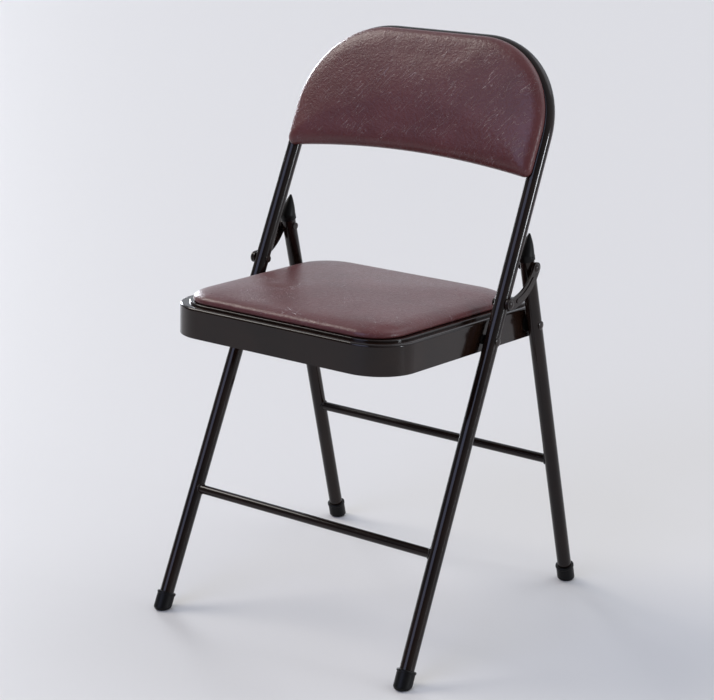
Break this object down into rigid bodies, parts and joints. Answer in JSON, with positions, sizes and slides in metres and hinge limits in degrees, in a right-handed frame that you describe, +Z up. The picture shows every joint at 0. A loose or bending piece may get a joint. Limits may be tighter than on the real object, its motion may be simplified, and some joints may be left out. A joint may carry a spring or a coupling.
{
  "type": "folding chair",
  "caption": "Padded folding chair: bent tubular steel frame, pressed steel seat pan with a cushion, padded back inside the frame's hoop, crossbars, and links that fold it flat.",
  "frame": {"origin": "on the floor in the middle of the open chair's footprint", "axes": "+Z up, +Y towards the back, +X to the right as seen from the front, which is the sitter's left"},
  "size_m": [0.4426, 0.437, 0.7827],
  "materials": {
    "frame_enamel": "gloss brown-black enamel",
    "pan_enamel": "gloss brown-black enamel",
    "pad_leather": "satin burgundy artificial leather",
    "panel_board": "painted fibreboard",
    "foot_plastic": "matt black moulded",
    "spacer_plastic": "black nylon",
    "rivet_enamel": "dark enamel on steel",
    "screw_steel": "zinc plated"
  },
  "bodies": {
    "front_frame": {"front_frame_tube": "frame_enamel", "front_crossbar": "frame_enamel", "front_foot_left": "foot_plastic", "front_foot_right": "foot_plastic", "back_board": "panel_board", "back_pad": "pad_leather", "back_tabs": "frame_enamel", "back_screws": "screw_steel", "front_seat_rivets": "rivet_enamel", "front_seat_spacers": "spacer_plastic", "link_lower_rivets": "rivet_enamel", "link_lower_washers": "rivet_enamel"},
    "seat": {"seat_pan": "pan_enamel", "seat_plate_left": "pan_enamel", "seat_plate_right": "pan_enamel", "seat_board": "panel_board", "seat_pad": "pad_leather", "seat_screws": "screw_steel"},
    "link_left": {"link_left": "frame_enamel"},
    "link_right": {"link_right": "frame_enamel"},
    "rear_legs": {"rear_leg_left": "frame_enamel", "rear_leg_right": "frame_enamel", "rear_crossbar": "frame_enamel", "rear_foot_left": "foot_plastic", "rear_foot_right": "foot_plastic", "rear_cap_left": "foot_plastic", "rear_cap_right": "foot_plastic", "rear_seat_rivets": "rivet_enamel", "rear_seat_spacers": "spacer_plastic", "link_upper_rivets": "rivet_enamel", "link_upper_washers": "rivet_enamel"}
  },
  "joints": [
    {"name": "seat_fold", "type": "hinge", "parent": "front_frame", "child": "seat", "pos_m": [0, 0.00898, 0.41481], "axis": [-1, 0, 0], "range_deg": [0, 101.5]},
    {"name": "link_left_turn", "type": "hinge", "parent": "front_frame", "child": "link_left", "pos_m": [0, 0.03294, 0.46096], "axis": [-1, 0, 0], "range_deg": [0, 125.92]},
    {"name": "link_right_turn", "type": "hinge", "parent": "front_frame", "child": "link_right", "pos_m": [0, 0.03294, 0.46096], "axis": [-1, 0, 0], "range_deg": [0, 125.92]},
    {"name": "rear_legs_fold", "type": "hinge", "parent": "link_left", "child": "rear_legs", "pos_m": [0, 0.09711, 0.49592], "axis": [1, 0, 0], "range_deg": [0, 85.92]}
  ],
  "couplings": [
    {"joint": "link_left_turn", "follows": "seat_fold", "ratio": 1.2405},
    {"joint": "link_right_turn", "follows": "seat_fold", "ratio": 1.2405},
    {"joint": "rear_legs_fold", "follows": "seat_fold", "ratio": 0.84636}
  ]
}
